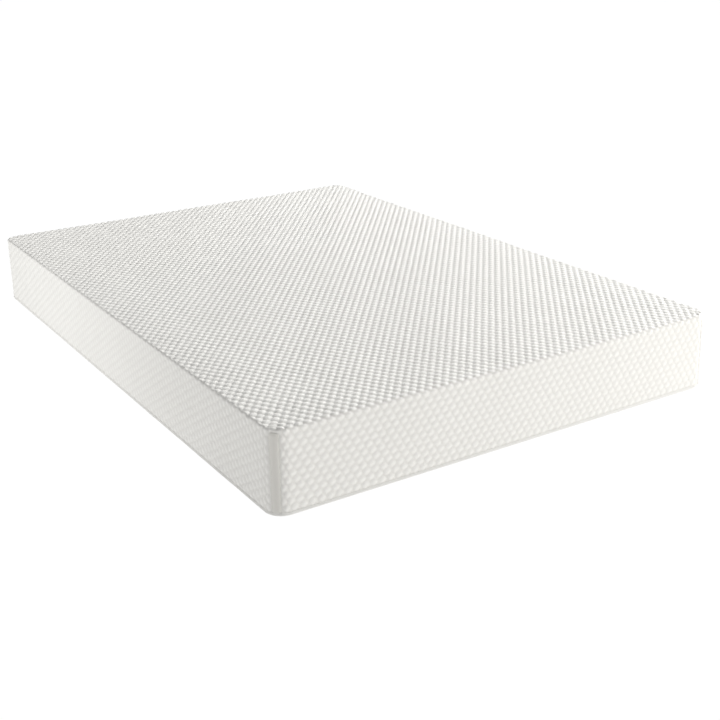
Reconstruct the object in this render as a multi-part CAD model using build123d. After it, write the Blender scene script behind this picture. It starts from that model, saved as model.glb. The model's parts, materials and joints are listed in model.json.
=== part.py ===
"""Foam mattress: a layered foam core in a sewn knit cover with a zip along its foot end.

Millimetres, +Z up. X runs across the mattress, Y along it, and the zip is on the +Y end.
The origin is the middle of the underside.
"""

from build123d import *
import math
import os

# overall size, over the cover
mattress_width = 1400.0
mattress_length = 2000.0
mattress_height = 220.0
corner_radius = 48.0        # upright corners, in plan
top_edge_radius = 8.0
bottom_edge_radius = 5.0

# knit cover
cover_thickness = 6.0
hem_height = 9.0            # plain band round the bottom of the sides
hem_thickness = 2.0
hem_return = 14.0           # how far the band turns in under the core
base_thickness = 2.0        # underside cloth, level with the band's turned-in leg

# plain strips that join the knit at the four upright corners
strip_width = 24.0          # along the curve of the corner
strip_thickness = 1.5
strip_recess = 1.5          # the strip lies this far under the knit's face
strip_top_gap = 12.0        # from the strip's end up to the top face

# core, from the top down; the support block takes what is left of the height
memory_thickness = 50.0
comfort_thickness = 40.0
glue_thickness = 0.3
sock_thickness = 1.0        # fire barrier round the whole core
fit_gap = 0.2               # side clearance between nested pieces

# zip on the foot end
zip_slot_length = 1220.0
zip_slot_height = 14.0
zip_above_hem = 9.0         # knit left between the band and the slot
tape_width = 14.2
tape_thickness = 1.0
tape_overrun = 8.0          # tape past each end of the slot, behind the knit
coil_width = 3.0            # one half of the coil
coil_height = 2.3
coil_gap = 1.6              # between the two halves, where the slider's neck runs
coil_end_gap = 5.0          # from the slot's end to the coil's end
stop_length = 3.0
run_gap = 0.3               # slider to tape and slider to coil

# slider
slider_length = 14.0
slider_width = 9.6
slider_corner = 2.4
plate_thickness = 1.2
neck_length = 4.0
neck_side_gap = 0.3
flange_thickness = 0.6
flange_drop = 2.0
slider_stop_gap = 2.0       # between slider and stop with the zip closed
slider_sock_gap = 0.5
bail_span = 6.4             # between the middles of its two posts
bail_bar = 1.0
bail_width = 2.0
bail_opening = 3.0

# pull tab
pin_radius = 0.6
pin_lift = 1.3              # pin's middle above the slider's face
tab_thickness = 1.4
tab_width = 7.0
tab_length = 33.0           # from the pin to the free end
tab_fork_depth = 5.5        # from the pin to where the two arms join
tab_arm_gap = 2.8           # between the arms
tab_arm_span = 6.0          # over the arms
tab_hole_radius = 1.6
tab_corner = 2.0

# sewn-on label on the foot end
label_width = 65.0
label_height = 95.0
label_thickness = 0.5
label_x = -480.0
label_z = 62.0              # its lower edge

# heights of the layers
cavity_top = mattress_height - cover_thickness
sock_bottom = base_thickness
core_bottom = sock_bottom + sock_thickness
core_top = cavity_top - sock_thickness
memory_bottom = core_top - memory_thickness
comfort_top = memory_bottom - glue_thickness
comfort_bottom = comfort_top - comfort_thickness
support_top = comfort_bottom - glue_thickness

# how far each nested piece stands in from the cover's outside
sock_inset = cover_thickness + fit_gap
core_inset = sock_inset + sock_thickness + fit_gap

# zip: heights of its middle line, and depths in from the cover's outer face
zip_middle = hem_height + zip_above_hem + zip_slot_height / 2
slider_back = sock_inset - slider_sock_gap
tape_back = slider_back - plate_thickness - run_gap
tape_front = tape_back - tape_thickness
coil_front = tape_front - coil_height
slider_inner_face = coil_front - run_gap
slider_face = slider_inner_face - plate_thickness
pin_depth = slider_face - pin_lift
bail_inside = slider_face - bail_opening
coil_half_length = zip_slot_length / 2 - coil_end_gap
slider_x = coil_half_length - slider_stop_gap - slider_length / 2


def block(inset, low, high, top_round=0.0, bottom_round=0.0):
    """Upright block with round corners, standing in from the cover's outside by inset."""
    plan = RectangleRounded(
        mattress_width - 2 * inset, mattress_length - 2 * inset, corner_radius - inset
    )
    solid = extrude(Pos(0, 0, low) * plan, high - low)
    if top_round > 0:
        solid = fillet(solid.faces().sort_by(Axis.Z)[-1].edges(), top_round)
    if bottom_round > 0:
        solid = fillet(solid.faces().sort_by(Axis.Z)[0].edges(), bottom_round)
    return solid


def end_box(x_low, x_high, depth_low, depth_high, z_low, z_high):
    """Box at the foot end, from its span in X, its depths in from the face and its heights."""
    size = (x_high - x_low, depth_high - depth_low, z_high - z_low)
    middle_y = mattress_length / 2 - (depth_low + depth_high) / 2
    return Pos((x_low + x_high) / 2, middle_y, (z_low + z_high) / 2) * Box(*size)


def corner_sector(inner, outer, x_side, y_side):
    """Upright piece that curves round one corner between two radii, one strip wide."""
    half_angle = math.degrees(strip_width / corner_radius / 2)
    reach = 2 * corner_radius
    wedge = make_face(
        Polyline(
            (0, 0),
            (reach * math.cos(math.radians(45 - half_angle)),
             reach * math.sin(math.radians(45 - half_angle))),
            (reach * math.cos(math.radians(45 + half_angle)),
             reach * math.sin(math.radians(45 + half_angle))),
            close=True,
        )
    )
    ring = (Circle(outer) - Circle(inner)) & wedge
    height = mattress_height - strip_top_gap - hem_height
    solid = extrude(Pos(0, 0, hem_height) * ring, height)
    if x_side < 0:
        solid = mirror(solid, Plane.YZ)
    if y_side < 0:
        solid = mirror(solid, Plane.XZ)
    centre_x = x_side * (mattress_width / 2 - corner_radius)
    centre_y = y_side * (mattress_length / 2 - corner_radius)
    return Pos(centre_x, centre_y, 0) * solid


def make_cover_top():
    """Knit over the top and sides, open underneath, with the zip's slot and the strips' grooves."""
    outside = block(0, hem_height, mattress_height, top_round=top_edge_radius)
    skirt = block(hem_thickness, hem_thickness, hem_height,
                  bottom_round=bottom_edge_radius - hem_thickness)
    cavity = block(cover_thickness, 0, cavity_top, top_round=top_edge_radius - cover_thickness)
    cover = outside + skirt - cavity
    groove_inner = corner_radius - strip_recess - strip_thickness
    for x_side in (-1, 1):
        for y_side in (-1, 1):
            cover -= corner_sector(groove_inner, corner_radius + cover_thickness, x_side, y_side)
    half_slot = zip_slot_length / 2
    cover -= end_box(-half_slot, half_slot, -1, cover_thickness + 1,
                     zip_middle - zip_slot_height / 2, zip_middle + zip_slot_height / 2)
    pocket_half = half_slot + tape_overrun
    pocket_reach = coil_gap / 2 + tape_width
    cover -= end_box(-pocket_half, pocket_half, tape_front, cover_thickness + 1,
                     zip_middle - pocket_reach, zip_middle + pocket_reach)
    return cover


def make_hem_band():
    """Plain band round the bottom of the sides, turned in under the edge."""
    outside = block(0, 0, hem_height, bottom_round=bottom_edge_radius)
    inside = block(hem_thickness, hem_thickness, hem_height,
                   bottom_round=bottom_edge_radius - hem_thickness)
    return outside - inside - block(hem_return, 0, hem_thickness)


def make_base_panel():
    """Underside cloth inside the band."""
    return block(hem_return, 0, base_thickness)


def make_fire_sock():
    """Thin closed sock round the foam core."""
    round_out = top_edge_radius - cover_thickness
    outside = block(sock_inset, sock_bottom, cavity_top, top_round=round_out)
    inside = block(sock_inset + sock_thickness, core_bottom, core_top,
                   top_round=round_out - sock_thickness)
    return outside - inside


def make_core():
    """Foam layers and the glue films between them, from the top down."""
    top_round = top_edge_radius - cover_thickness - sock_thickness
    return {
        "memory_foam_layer": block(core_inset, memory_bottom, core_top, top_round=top_round),
        "upper_glue_film": block(core_inset, comfort_top, memory_bottom),
        "comfort_foam_layer": block(core_inset, comfort_bottom, comfort_top),
        "lower_glue_film": block(core_inset, support_top, comfort_bottom),
        "support_foam_base": block(core_inset, core_bottom, support_top),
    }


def make_corner_strips():
    """Plain strips in the grooves of the four upright corners."""
    outer = corner_radius - strip_recess
    names = {(-1, -1): "front_left", (1, -1): "front_right",
             (-1, 1): "back_left", (1, 1): "back_right"}
    return {
        f"corner_strip_{name}": corner_sector(outer - strip_thickness, outer, x_side, y_side)
        for (x_side, y_side), name in names.items()
    }


def make_zip():
    """Both tapes, both coil halves and the two end stops."""
    tape_half = zip_slot_length / 2 + tape_overrun
    pieces = {}
    for side, name in ((-1, "lower"), (1, "upper")):
        inner = zip_middle + side * coil_gap / 2
        tape_edges = sorted((inner, inner + side * tape_width))
        coil_edges = sorted((inner, inner + side * coil_width))
        pieces[f"zip_tape_{name}"] = end_box(
            -tape_half, tape_half, tape_front, tape_back, *tape_edges)
        pieces[f"zip_coil_{name}"] = end_box(
            -coil_half_length, coil_half_length, coil_front, tape_front, *coil_edges)
    stop_reach = coil_gap / 2 + coil_width - 0.8
    for side, name in ((-1, "open"), (1, "closed")):
        ends = sorted((side * coil_half_length, side * (coil_half_length + stop_length)))
        pieces[f"zip_stop_{name}"] = end_box(
            *ends, coil_front, tape_front, zip_middle - stop_reach, zip_middle + stop_reach)
    return pieces


def slider_plate(depth_low, depth_high):
    """One of the slider's two plates, with round corners, lying parallel to the foot end."""
    plate = end_box(slider_x - slider_length / 2, slider_x + slider_length / 2,
                    depth_low, depth_high,
                    zip_middle - slider_width / 2, zip_middle + slider_width / 2)
    return fillet(plate.edges().filter_by(Axis.Y), slider_corner)


def make_zip_slider():
    """Slider: two plates joined by a neck between the coil halves, flanges and a bail."""
    slider = slider_plate(slider_face, slider_inner_face)
    slider += slider_plate(tape_back + run_gap, slider_back)
    neck_half = coil_gap / 2 - neck_side_gap
    neck_end = slider_x + slider_length / 2
    slider += end_box(neck_end - neck_length, neck_end, slider_face, slider_back,
                      zip_middle - neck_half, zip_middle + neck_half)
    flange_half = slider_length / 2 - slider_corner
    for side in (-1, 1):
        edges = sorted((zip_middle + side * slider_width / 2,
                        zip_middle + side * (slider_width / 2 - flange_thickness)))
        slider += end_box(slider_x - flange_half, slider_x + flange_half,
                          slider_face, slider_inner_face + flange_drop, *edges)
        post = slider_x + side * bail_span / 2
        slider += end_box(post - bail_bar / 2, post + bail_bar / 2, bail_inside, slider_face,
                          zip_middle - bail_width / 2, zip_middle + bail_width / 2)
    bail_half = (bail_span + bail_bar) / 2
    slider += end_box(slider_x - bail_half, slider_x + bail_half,
                      bail_inside - bail_bar, bail_inside,
                      zip_middle - bail_width / 2, zip_middle + bail_width / 2)
    return slider


def make_zip_pull_tab():
    """Pull tab on its pin, lying along the zip towards the end that opens."""
    front = pin_depth - tab_thickness / 2
    back = pin_depth + tab_thickness / 2
    plate = end_box(slider_x - tab_length, slider_x - tab_fork_depth, front, back,
                    zip_middle - tab_width / 2, zip_middle + tab_width / 2)
    tab = fillet(plate.edges().filter_by(Axis.Y), tab_corner)
    for side in (-1, 1):
        edges = sorted((zip_middle + side * tab_arm_gap / 2,
                        zip_middle + side * tab_arm_span / 2))
        tab += end_box(slider_x - tab_fork_depth - tab_corner, slider_x, front, back, *edges)
    pin_y = mattress_length / 2 - pin_depth
    tab += Pos(slider_x, pin_y, zip_middle) * Cylinder(tab_thickness / 2, tab_arm_span)
    waist = Cylinder(tab_thickness / 2, tab_arm_gap) - Cylinder(pin_radius, tab_arm_gap)
    tab -= Pos(slider_x, pin_y, zip_middle) * waist
    hole_x = slider_x - tab_length + tab_corner + 2 * tab_hole_radius
    hole = Pos(hole_x, pin_y, zip_middle) * Rot(X=90) * Cylinder(tab_hole_radius, 3 * tab_thickness)
    return tab - hole


def make_label():
    """Blank label sewn flat on the foot end."""
    return end_box(label_x - label_width / 2, label_x + label_width / 2, -label_thickness, 0,
                   label_z, label_z + label_height)


def make_all():
    """Every piece by its name."""
    pieces = {
        "cover_top": make_cover_top(),
        "hem_band": make_hem_band(),
        "base_panel": make_base_panel(),
        "fire_sock": make_fire_sock(),
        "care_label": make_label(),
        "zip_slider": make_zip_slider(),
        "zip_pull_tab": make_zip_pull_tab(),
    }
    pieces.update(make_core())
    pieces.update(make_corner_strips())
    pieces.update(make_zip())
    return pieces


os.makedirs("parts", exist_ok=True)
for name, piece in make_all().items():
    export_step(piece, f"parts/{name}.step")
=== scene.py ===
import json
import logging
import math
import random
from dataclasses import dataclass, field
from enum import Enum
from typing import Callable, Iterable

import bmesh
import bpy
import numpy as np
from mathutils import Matrix, Vector


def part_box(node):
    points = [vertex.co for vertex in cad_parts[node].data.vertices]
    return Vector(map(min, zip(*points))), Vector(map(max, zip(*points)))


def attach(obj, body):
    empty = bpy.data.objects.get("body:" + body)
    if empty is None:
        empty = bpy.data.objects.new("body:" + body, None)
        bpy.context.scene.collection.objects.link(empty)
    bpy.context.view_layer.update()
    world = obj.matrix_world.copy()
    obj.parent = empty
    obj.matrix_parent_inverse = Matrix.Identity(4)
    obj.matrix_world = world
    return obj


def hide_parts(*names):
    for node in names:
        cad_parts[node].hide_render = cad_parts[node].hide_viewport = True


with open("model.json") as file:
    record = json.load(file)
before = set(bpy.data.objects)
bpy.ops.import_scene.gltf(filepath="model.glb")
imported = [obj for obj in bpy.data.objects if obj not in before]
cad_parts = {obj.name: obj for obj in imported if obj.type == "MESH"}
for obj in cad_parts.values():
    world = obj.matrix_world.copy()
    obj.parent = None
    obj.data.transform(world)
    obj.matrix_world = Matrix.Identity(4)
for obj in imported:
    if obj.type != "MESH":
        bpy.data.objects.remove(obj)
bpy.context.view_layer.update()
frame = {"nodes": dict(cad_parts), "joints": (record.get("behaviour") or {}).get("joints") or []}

LOG = logging.getLogger("mattress")
MM = 0.001


# ---------------------------------------------------------------- shader maths

class Value:
    """A number socket of a material; arithmetic on it adds Math nodes."""

    def __init__(self, graph: "Graph", socket: bpy.types.NodeSocket) -> None:
        """Wraps an output socket of a graph."""
        self.graph = graph
        self.socket = socket

    def _math(self, operation: str, first: object, second: object = 0.0) -> "Value":
        """Adds one Math node and returns its result."""
        node = self.graph.node("ShaderNodeMath", {"operation": operation}, {0: first, 1: second})
        return Value(self.graph, node.outputs[0])

    def __add__(self, other: object) -> "Value":
        """self + other"""
        return self._math("ADD", self, other)

    def __radd__(self, other: object) -> "Value":
        """other + self"""
        return self._math("ADD", other, self)

    def __sub__(self, other: object) -> "Value":
        """self - other"""
        return self._math("SUBTRACT", self, other)

    def __rsub__(self, other: object) -> "Value":
        """other - self"""
        return self._math("SUBTRACT", other, self)

    def __mul__(self, other: object) -> "Value":
        """self * other"""
        return self._math("MULTIPLY", self, other)

    def __rmul__(self, other: object) -> "Value":
        """other * self"""
        return self._math("MULTIPLY", other, self)

    def __truediv__(self, other: object) -> "Value":
        """self / other"""
        return self._math("DIVIDE", self, other)

    def __pow__(self, other: object) -> "Value":
        """self to the power of other"""
        return self._math("POWER", self, other)

    def sine(self) -> "Value":
        """Sine of the value, in radians."""
        return self._math("SINE", self)

    def size(self) -> "Value":
        """The value without its sign."""
        return self._math("ABSOLUTE", self)

    def wrapped(self) -> "Value":
        """What is left over the last whole number."""
        return self._math("FRACT", self)

    def above(self, limit: float) -> "Value":
        """1 where the value is over the limit, else 0."""
        return self._math("GREATER_THAN", self, limit)


class Graph:
    """A material and its nodes."""

    def __init__(self, name: str) -> None:
        """Starts an empty material."""
        self.material = bpy.data.materials.new(name)
        self.material.use_nodes = True
        self.tree = self.material.node_tree
        self.tree.nodes.clear()

    def node(self, kind: str, settings: dict | None = None,
             sockets: dict | None = None) -> bpy.types.Node:
        """Adds one node.

        Args:
            kind: the node's type.
            settings: its properties, and "stops" for a ramp, set before its sockets.
            sockets: values or links for its inputs, by name or number.

        Returns:
            The new node.
        """
        made = self.tree.nodes.new(kind)
        for key, value in (settings or {}).items():
            if key == "stops":
                self._set_stops(made.color_ramp, value)
            else:
                setattr(made, key, value)
        for key, value in (sockets or {}).items():
            if isinstance(value, Value):
                self.tree.links.new(value.socket, made.inputs[key])
            elif isinstance(value, bpy.types.NodeSocket):
                self.tree.links.new(value, made.inputs[key])
            else:
                made.inputs[key].default_value = value
        return made

    @staticmethod
    def _set_stops(ramp: bpy.types.ColorRamp, stops: list[tuple[float, tuple]]) -> None:
        """Gives a ramp its colours."""
        while len(ramp.elements) < len(stops):
            ramp.elements.new(0.5)
        for element, (place, colour) in zip(ramp.elements, stops):
            element.position = place
            element.color = colour

    def noise(self, scale: float, detail: float = 2.0) -> Value:
        """Noise from 0 to 1 in the row's own coordinates, with this many waves a metre."""
        place = self.node("ShaderNodeTexCoord").outputs["Object"]
        made = self.node("ShaderNodeTexNoise", None,
                         {"Vector": place, "Scale": scale, "Detail": detail})
        return Value(self, made.outputs[0])

    def cells(self, size: float) -> Value:
        """Distance to the nearest of many scattered points, one in about each size."""
        place = self.node("ShaderNodeTexCoord").outputs["Object"]
        made = self.node("ShaderNodeTexVoronoi", None, {"Vector": place, "Scale": 1 / size})
        return Value(self, made.outputs["Distance"])

    def place(self) -> tuple[Value, Value, Value]:
        """The three coordinates of a spot, in metres."""
        spot = self.node("ShaderNodeTexCoord").outputs["Object"]
        parts = self.node("ShaderNodeSeparateXYZ", None, {0: spot})
        return tuple(Value(self, parts.outputs[k]) for k in range(3))

    def cloth(self) -> tuple[Value, Value]:
        """The two directions of the cloth, in metres, from the piece's own map."""
        spot = self.node("ShaderNodeUVMap", {"uv_map": "cloth"}).outputs[0]
        parts = self.node("ShaderNodeSeparateXYZ", None, {0: spot})
        return Value(self, parts.outputs[0]), Value(self, parts.outputs[1])

    def attribute(self, name: str) -> Value:
        """A number stored on the mesh."""
        return Value(self, self.node("ShaderNodeAttribute", {"attribute_name": name}).outputs["Fac"])

    def blend(self, share: Value, first: tuple, second: tuple) -> bpy.types.NodeSocket:
        """Goes from the first colour to the second as share goes from 0 to 1."""
        made = self.node("ShaderNodeMix", {"data_type": "RGBA"},
                         {0: share, 6: (*first, 1.0), 7: (*second, 1.0)})
        return made.outputs[2]

    def surface(self, colour: object, roughness: object, height: Value | None = None,
                depth: float = 0.0, **others: float) -> bpy.types.Material:
        """Ends the graph in one surface.

        Args:
            colour: a colour or a colour link.
            roughness: a number or a Value.
            height: relief from 0 to 1, if the finish has any.
            depth: how deep that relief is, in metres.
            others: the shader's own sockets, with spaces written as underscores.

        Returns:
            The finished material.
        """
        sockets = {"Base Color": colour if not isinstance(colour, tuple) else (*colour, 1.0),
                   "Roughness": roughness}
        sockets.update({key.replace("_", " "): value for key, value in others.items()})
        if height is not None:
            bump = self.node("ShaderNodeBump", None,
                             {"Strength": 1.0, "Distance": depth, "Height": height})
            sockets["Normal"] = bump.outputs[0]
        shader = self.node("ShaderNodeBsdfPrincipled", None, sockets)
        self.node("ShaderNodeOutputMaterial", None, {0: shader.outputs[0]})
        return self.material


# ---------------------------------------------------------------- finishes

@dataclass(frozen=True)
class CellKnit:
    """Stretch knit of the cover: raised cells of fine loops, with shade painted into the valleys
    between the cells and where the cells fade out by the seams.
    """

    crest: tuple = (0.885, 0.876, 0.845)
    # Painted shade: the darker colour that the valleys between the cells are given.
    painted_valley_shade: tuple = (0.775, 0.762, 0.725)
    wale: float = 1.3 * MM
    course: float = 1.0 * MM
    loop_depth: float = 0.16 * MM

    def make(self) -> bpy.types.Material:
        """Builds the material."""
        graph = Graph("cell_knit")
        across, along = graph.cloth()
        loops = knit_loops(across / self.wale, along / self.course)
        fuzz = graph.noise(1400.0, 3.0)
        drift = graph.noise(4.0, 2.0)
        # Painted shade: the relief mark pulls the colour towards the painted valley shade in the
        # valleys and where the cells fade out by the seams; the slow noise adds random tone and the
        # loops the knit's own pattern.
        share = graph.attribute("relief") * 0.8 + drift * 0.3 - 0.1 + loops * 0.08
        colour = graph.blend(share, self.painted_valley_shade, self.crest)
        return graph.surface(colour, 0.84 + fuzz * 0.1, loops * 0.75 + fuzz * 0.25,
                             self.loop_depth, Sheen_Weight=0.25, Sheen_Roughness=0.5,
                             Specular_IOR_Level=0.25)


@dataclass(frozen=True)
class RibKnit:
    """Plain fine-rib knit of the hem band and the corner strips."""

    name: str
    ridge: tuple
    furrow: tuple
    rib: float = 1.6 * MM
    course: float = 0.9 * MM
    rib_depth: float = 0.18 * MM

    def make(self) -> bpy.types.Material:
        """Builds the material."""
        graph = Graph(self.name)
        across, along = graph.cloth()
        loops = knit_loops(across / self.rib, along / self.course)
        fuzz = graph.noise(1500.0, 3.0)
        colour = graph.blend(loops * 0.5 + fuzz * 0.5, self.furrow, self.ridge)
        return graph.surface(colour, 0.86 + fuzz * 0.08, loops * 0.8 + fuzz * 0.2,
                             self.rib_depth, Sheen_Weight=0.2, Specular_IOR_Level=0.25)


@dataclass(frozen=True)
class Woven:
    """Flat woven cloth: the underside, the zip tapes and the label."""

    name: str
    light: tuple
    dark: tuple
    pitch: float
    depth: float
    slant: float = 0.0
    roughness: float = 0.8

    def make(self) -> bpy.types.Material:
        """Builds the material, with its yarns slanted one way and the other if slant is set."""
        graph = Graph(self.name)
        across, along = graph.cloth()
        fold = ((along / (self.pitch * 12)).wrapped() - 0.5).size() * 2
        lean = across + fold * self.slant
        warp = (lean * (2 * math.pi / self.pitch)).sine()
        weft = (along * (2 * math.pi / self.pitch)).sine()
        yarn = (warp * weft) * 0.5 + 0.5
        fuzz = graph.noise(1800.0, 2.0)
        colour = graph.blend(yarn * 0.7 + fuzz * 0.3, self.dark, self.light)
        return graph.surface(colour, self.roughness + fuzz * 0.08, yarn, self.depth,
                             Specular_IOR_Level=0.3)


@dataclass(frozen=True)
class Foam:
    """Cut open-cell foam."""

    name: str
    face: tuple
    pore: tuple
    cell: float

    def make(self) -> bpy.types.Material:
        """Builds the material."""
        graph = Graph(self.name)
        pores = graph.cells(self.cell)
        cloud = graph.noise(14.0, 3.0)
        share = 1.15 - pores * 0.6 - cloud * 0.3
        colour = graph.blend(share, self.pore, self.face)
        return graph.surface(colour, 0.9 - pores * 0.1, 1 - pores, self.cell * 0.4,
                             Specular_IOR_Level=0.2)


@dataclass(frozen=True)
class Plastic:
    """Moulded or drawn plastic, and dried glue."""

    name: str
    colour: tuple
    shade: tuple
    roughness: float
    grain: float = 900.0

    def make(self) -> bpy.types.Material:
        """Builds the material."""
        graph = Graph(self.name)
        grain = graph.noise(self.grain, 2.0)
        colour = graph.blend(grain, self.shade, self.colour)
        return graph.surface(colour, self.roughness + grain * 0.12, grain, 0.03 * MM)


@dataclass(frozen=True)
class SatinNickel:
    """Plated zinc of the slider, the pull tab and the stops, with fine rubbing marks."""

    bright: tuple = (0.74, 0.73, 0.70)
    dull: tuple = (0.52, 0.51, 0.49)

    def make(self) -> bpy.types.Material:
        """Builds the material."""
        graph = Graph("satin_nickel")
        across, _, up = graph.place()
        marks = graph.node("ShaderNodeTexNoise", None,
                           {"Vector": graph.node("ShaderNodeMapping", None, {
                               "Vector": graph.node("ShaderNodeTexCoord").outputs["Object"],
                               "Scale": (500.0, 3000.0, 3000.0)}).outputs[0], "Scale": 1.0})
        wear = Value(graph, marks.outputs[0])
        cloud = graph.noise(260.0, 2.0)
        colour = graph.blend(wear * 0.5 + cloud * 0.5, self.dull, self.bright)
        return graph.surface(colour, 0.28 + wear * 0.16, wear, 0.01 * MM, Metallic=1.0)


def knit_loops(across: Value, along: Value) -> Value:
    """Height of knitted loops: V-shaped stitches in upright wales.

    Args:
        across: position across the wales, one a wale.
        along: position along them, one a course.

    Returns:
        A height from 0 to 1.
    """
    half = ((across.wrapped() - 0.5).size()) * 2
    leg = ((along + half * 0.7) * (2 * math.pi)).sine() * 0.5 + 0.5
    ridge = 1 - (half * 2 - 1).size() ** 2
    return ridge * 0.6 + leg * 0.4


# ---------------------------------------------------------------- mesh helpers

def lattice(columns: int, rows: int) -> bmesh.types.BMesh:
    """Flat grid with its vertices on whole numbers, from (0, 0) to (columns, rows)."""
    shape = bmesh.new()
    spread = Matrix.Translation((columns / 2, rows / 2, 0))
    spread = spread @ Matrix.Diagonal((columns / 2, rows / 2, 1, 1))
    bmesh.ops.create_grid(shape, x_segments=columns, y_segments=rows, size=1.0, matrix=spread)
    return shape


def numbers(shape: bmesh.types.BMesh) -> tuple[np.ndarray, np.ndarray]:
    """Column and row number of each vertex of a lattice."""
    places = np.rint([vertex.co[:2] for vertex in shape.verts])
    return places[:, 0], places[:, 1]


def move(shape: bmesh.types.BMesh, places: np.ndarray) -> None:
    """Puts each vertex of a shape at its new place."""
    for vertex, place in zip(shape.verts, places.tolist()):
        vertex.co = place


def repeat(shape: bmesh.types.BMesh, count: int, step: tuple) -> None:
    """Repeats what a shape holds until it is there count times, each one a step further on."""
    sizes = [len(part) for part in (shape.verts, shape.edges, shape.faces)]
    done = 1
    while done < count:
        batch = min(done, count - done)
        copied = []
        for part, size in zip((shape.verts, shape.edges, shape.faces), sizes):
            copied += part[:batch * size]
        made = bmesh.ops.duplicate(shape, geom=copied)["geom"]
        fresh = [item for item in made if isinstance(item, bmesh.types.BMVert)]
        bmesh.ops.translate(shape, verts=fresh, vec=Vector(step) * done)
        done += batch


def spots_of(shape: bmesh.types.BMesh) -> np.ndarray:
    """Place of each vertex of a shape."""
    return np.array([vertex.co[:] for vertex in shape.verts])


def smooth_step(value: np.ndarray, low: float, high: float) -> np.ndarray:
    """0 below low, 1 above high and an S-shaped rise between."""
    share = np.clip((value - low) / (high - low), 0.0, 1.0)
    return share * share * (3 - 2 * share)


def as_piece(shape: bmesh.types.BMesh, name: str, smooth: bool = True) -> bpy.types.Object:
    """Turns a shape into an object of the scene and frees the shape."""
    shape.normal_update()
    bmesh.ops.recalc_face_normals(shape, faces=shape.faces[:])
    mesh = bpy.data.meshes.new(name)
    shape.to_mesh(mesh)
    shape.free()
    mesh.polygons.foreach_set("use_smooth", np.full(len(mesh.polygons), smooth))
    piece = bpy.data.objects.new(name, mesh)
    bpy.context.scene.collection.objects.link(piece)
    return piece


def map_cloth(mesh: bpy.types.Mesh, spots: np.ndarray) -> None:
    """Gives a mesh its cloth map, from one (across, along) pair for each vertex, in metres."""
    corners = np.zeros(len(mesh.loops), np.int32)
    mesh.loops.foreach_get("vertex_index", corners)
    layer = mesh.uv_layers.new(name="cloth")
    layer.uv.foreach_set("vector", spots[corners].astype(np.float32).ravel())


def mark(shape: bmesh.types.BMesh, values: dict[str, np.ndarray]) -> None:
    """Stores named numbers on the vertices of a shape, so that they stay with them."""
    for name, row in values.items():
        layer = shape.verts.layers.float.new(name)
        for vertex, value in zip(shape.verts, row.tolist()):
            vertex[layer] = value


def marks_of(mesh: bpy.types.Mesh, name: str) -> np.ndarray:
    """Reads the numbers that a mesh's vertices hold under a name."""
    values = np.zeros(len(mesh.vertices), np.float32)
    mesh.attributes[name].data.foreach_get("value", values)
    return values


def flat_spots(mesh: bpy.types.Mesh, across: int = 0, along: int = 2) -> np.ndarray:
    """The two coordinates of each vertex that run along a flat piece of cloth."""
    places = np.zeros(len(mesh.vertices) * 3, np.float32)
    mesh.vertices.foreach_get("co", places)
    return places.reshape(-1, 3)[:, [across, along]]


def thicken(piece: bpy.types.Object, thickness: float, outward: float = -1.0) -> None:
    """Gives a sheet its thickness, inwards from its face unless told otherwise."""
    wall = piece.modifiers.new("thickness", "SOLIDIFY")
    wall.thickness = thickness
    wall.offset = outward


def hand_over(piece: bpy.types.Object, material: bpy.types.Material,
              body: str, nodes: Iterable[str] = ()) -> bpy.types.Object:
    """Dresses a piece, ties it to its body and hides the nodes that it stands for."""
    piece.data.materials.append(material)
    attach(piece, body)
    if nodes:
        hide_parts(*nodes)
    LOG.info("%s: %d faces", piece.name, len(piece.data.polygons))
    return piece


# ---------------------------------------------------------------- forms shared by the pieces

@dataclass(frozen=True)
class Outline:
    """Rounded outline in plan, walked anticlockwise from the middle of the front edge."""

    half_x: float
    half_y: float
    radius: float

    def stretches(self) -> list[tuple[float, tuple, float | None]]:
        """Length, start or centre, and first angle of each stretch; straights have no angle."""
        x, y, r = self.half_x, self.half_y, self.radius
        quarter = r * math.pi / 2
        return [
            (x - r, ((0, -y), (1, 0)), None), (quarter, (x - r, r - y), -90.0),
            (2 * (y - r), ((x, r - y), (0, 1)), None), (quarter, (x - r, y - r), 0.0),
            (2 * (x - r), ((x - r, y), (-1, 0)), None), (quarter, (r - x, y - r), 90.0),
            (2 * (y - r), ((-x, y - r), (0, -1)), None), (quarter, (r - x, r - y), 180.0),
            (x - r, ((r - x, -y), (1, 0)), None),
        ]

    def length(self) -> float:
        """Length once round."""
        return sum(stretch[0] for stretch in self.stretches())

    def walk(self, along: np.ndarray) -> tuple[np.ndarray, np.ndarray]:
        """Points and outward directions at distances along the outline.

        Args:
            along: distances from the start, in metres.

        Returns:
            Two arrays of (x, y) rows.
        """
        points = np.zeros((len(along), 2))
        outward = np.zeros((len(along), 2))
        start = 0.0
        for length, place, angle in self.stretches():
            here = (along >= start - 1e-9) & (along <= start + length + 1e-9)
            gone = along[here] - start
            if angle is None:
                (x, y), (dx, dy) = place
                points[here] = np.stack([x + dx * gone, y + dy * gone], 1)
                outward[here] = (dy, -dx)
            else:
                turn = math.radians(angle) + gone / self.radius
                facing = np.stack([np.cos(turn), np.sin(turn)], 1)
                points[here] = np.array(place) + self.radius * facing
                outward[here] = facing
            start += length
        return points, outward


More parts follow.
